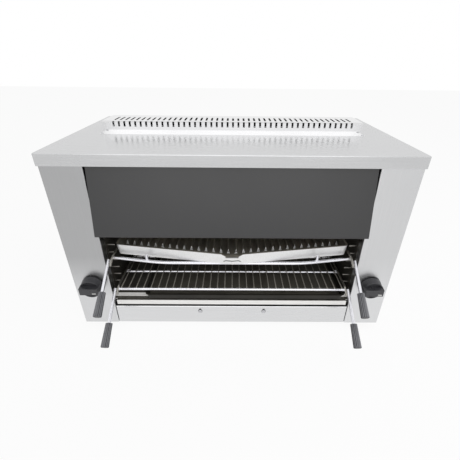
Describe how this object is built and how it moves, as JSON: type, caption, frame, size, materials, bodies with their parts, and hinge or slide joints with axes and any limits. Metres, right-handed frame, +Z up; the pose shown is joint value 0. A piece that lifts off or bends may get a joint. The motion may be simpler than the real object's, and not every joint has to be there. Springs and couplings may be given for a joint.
{
  "type": "salamander grill",
  "caption": "Gas salamander grill: stainless casing under a lid with a slotted flue cowl, sliding racks with sloping handles, ribbed branding plate, drip tray and push-and-turn gas taps.",
  "frame": {"origin": "on the worktop, under the middle of the overall box", "axes": "+X to the right seen from the front, +Y from the front to the back, +Z up"},
  "size_m": [0.9, 0.643, 0.577],
  "materials": {
    "stainless": "fine brushed grain",
    "hood_paint": "satin charcoal",
    "heated_steel": "dark heat-tinted sheet",
    "tray_enamel": "dark satin",
    "chromed_rod": "bright plated",
    "stud_steel": "turned",
    "fasteners": "plated",
    "cast_plate": "cast, browned on the cooking side",
    "grip_plastic": "ribbed, satin",
    "knob_plastic": "satin",
    "foot_plastic": "matt",
    "plaque_ceramic": "porous, unglazed",
    "brass": "machined",
    "pipe_steel": "drawn tube"
  },
  "bodies": {
    "casing": {"base_pan": "stainless", "left_front_pillar": "stainless", "right_front_pillar": "stainless", "left_side_panel": "stainless", "right_side_panel": "stainless", "back_panel": "stainless", "top_lid": "stainless", "flue_cowl": "stainless", "lower_front_panel": "stainless", "panel_brackets": "stainless", "tray_shelf": "stainless", "front_hood": "hood_paint", "left_inner_wall": "heated_steel", "right_inner_wall": "heated_steel", "cavity_back": "heated_steel", "burner_deck": "heated_steel", "left_burner_box": "heated_steel", "right_burner_box": "heated_steel", "left_venturi_tube": "heated_steel", "right_venturi_tube": "heated_steel", "left_rack_studs": "stud_steel", "right_rack_studs": "stud_steel", "cowl_screws": "fasteners", "panel_screws": "fasteners", "feet": "foot_plastic", "left_burner_plaques": "plaque_ceramic", "right_burner_plaques": "plaque_ceramic", "left_injector": "brass", "right_injector": "brass", "left_gas_tap": "brass", "right_gas_tap": "brass", "inlet_locknut": "brass", "left_tap_pipe": "pipe_steel", "right_tap_pipe": "pipe_steel", "gas_manifold": "pipe_steel", "gas_inlet": "pipe_steel"},
    "drip_tray": {"drip_tray": "tray_enamel"},
    "lower_rack": {"lower_rack_side_rods": "chromed_rod", "lower_rack_bars": "chromed_rod", "lower_rack_wires": "chromed_rod", "left_lower_handle_rod": "chromed_rod", "right_lower_handle_rod": "chromed_rod", "left_lower_grip": "grip_plastic", "right_lower_grip": "grip_plastic"},
    "upper_rack": {"upper_rack_side_rods": "chromed_rod", "upper_rack_bars": "chromed_rod", "plate_stops": "chromed_rod", "left_upper_handle_rod": "chromed_rod", "right_upper_handle_rod": "chromed_rod", "left_upper_grip": "grip_plastic", "right_upper_grip": "grip_plastic"},
    "branding_plate": {"branding_plate": "cast_plate"},
    "left_plunger": {"left_tap_plunger": "brass"},
    "right_plunger": {"right_tap_plunger": "brass"},
    "left_knob": {"left_knob": "knob_plastic", "left_tap_spindle": "pipe_steel"},
    "right_knob": {"right_knob": "knob_plastic", "right_tap_spindle": "pipe_steel"}
  },
  "joints": [
    {"name": "tray_slide", "type": "slide", "parent": "casing", "child": "drip_tray", "axis": [0, -1, 0], "range_m": [0, 0.25]},
    {"name": "lower_rack_slide", "type": "slide", "parent": "casing", "child": "lower_rack", "axis": [0, -1, 0], "range_m": [0, 0.2]},
    {"name": "upper_rack_slide", "type": "slide", "parent": "casing", "child": "upper_rack", "axis": [0, -1, 0], "range_m": [0, 0.2]},
    {"name": "plate_lift", "type": "slide", "parent": "upper_rack", "child": "branding_plate", "axis": [0, 0, 1], "range_m": [0, 0.04]},
    {"name": "left_knob_push", "type": "slide", "parent": "casing", "child": "left_plunger", "axis": [0, 1, 0], "range_m": [0, 0.004], "stiffness_N_per_m": 800},
    {"name": "right_knob_push", "type": "slide", "parent": "casing", "child": "right_plunger", "axis": [0, 1, 0], "range_m": [0, 0.004], "stiffness_N_per_m": 800},
    {"name": "left_knob_turn", "type": "hinge", "parent": "left_plunger", "child": "left_knob", "pos_m": [-0.393, -0.18347, 0.171], "axis": [0, -1, 0], "range_deg": [0, 180]},
    {"name": "right_knob_turn", "type": "hinge", "parent": "right_plunger", "child": "right_knob", "pos_m": [0.393, -0.18347, 0.171], "axis": [0, -1, 0], "range_deg": [0, 180]}
  ]
}
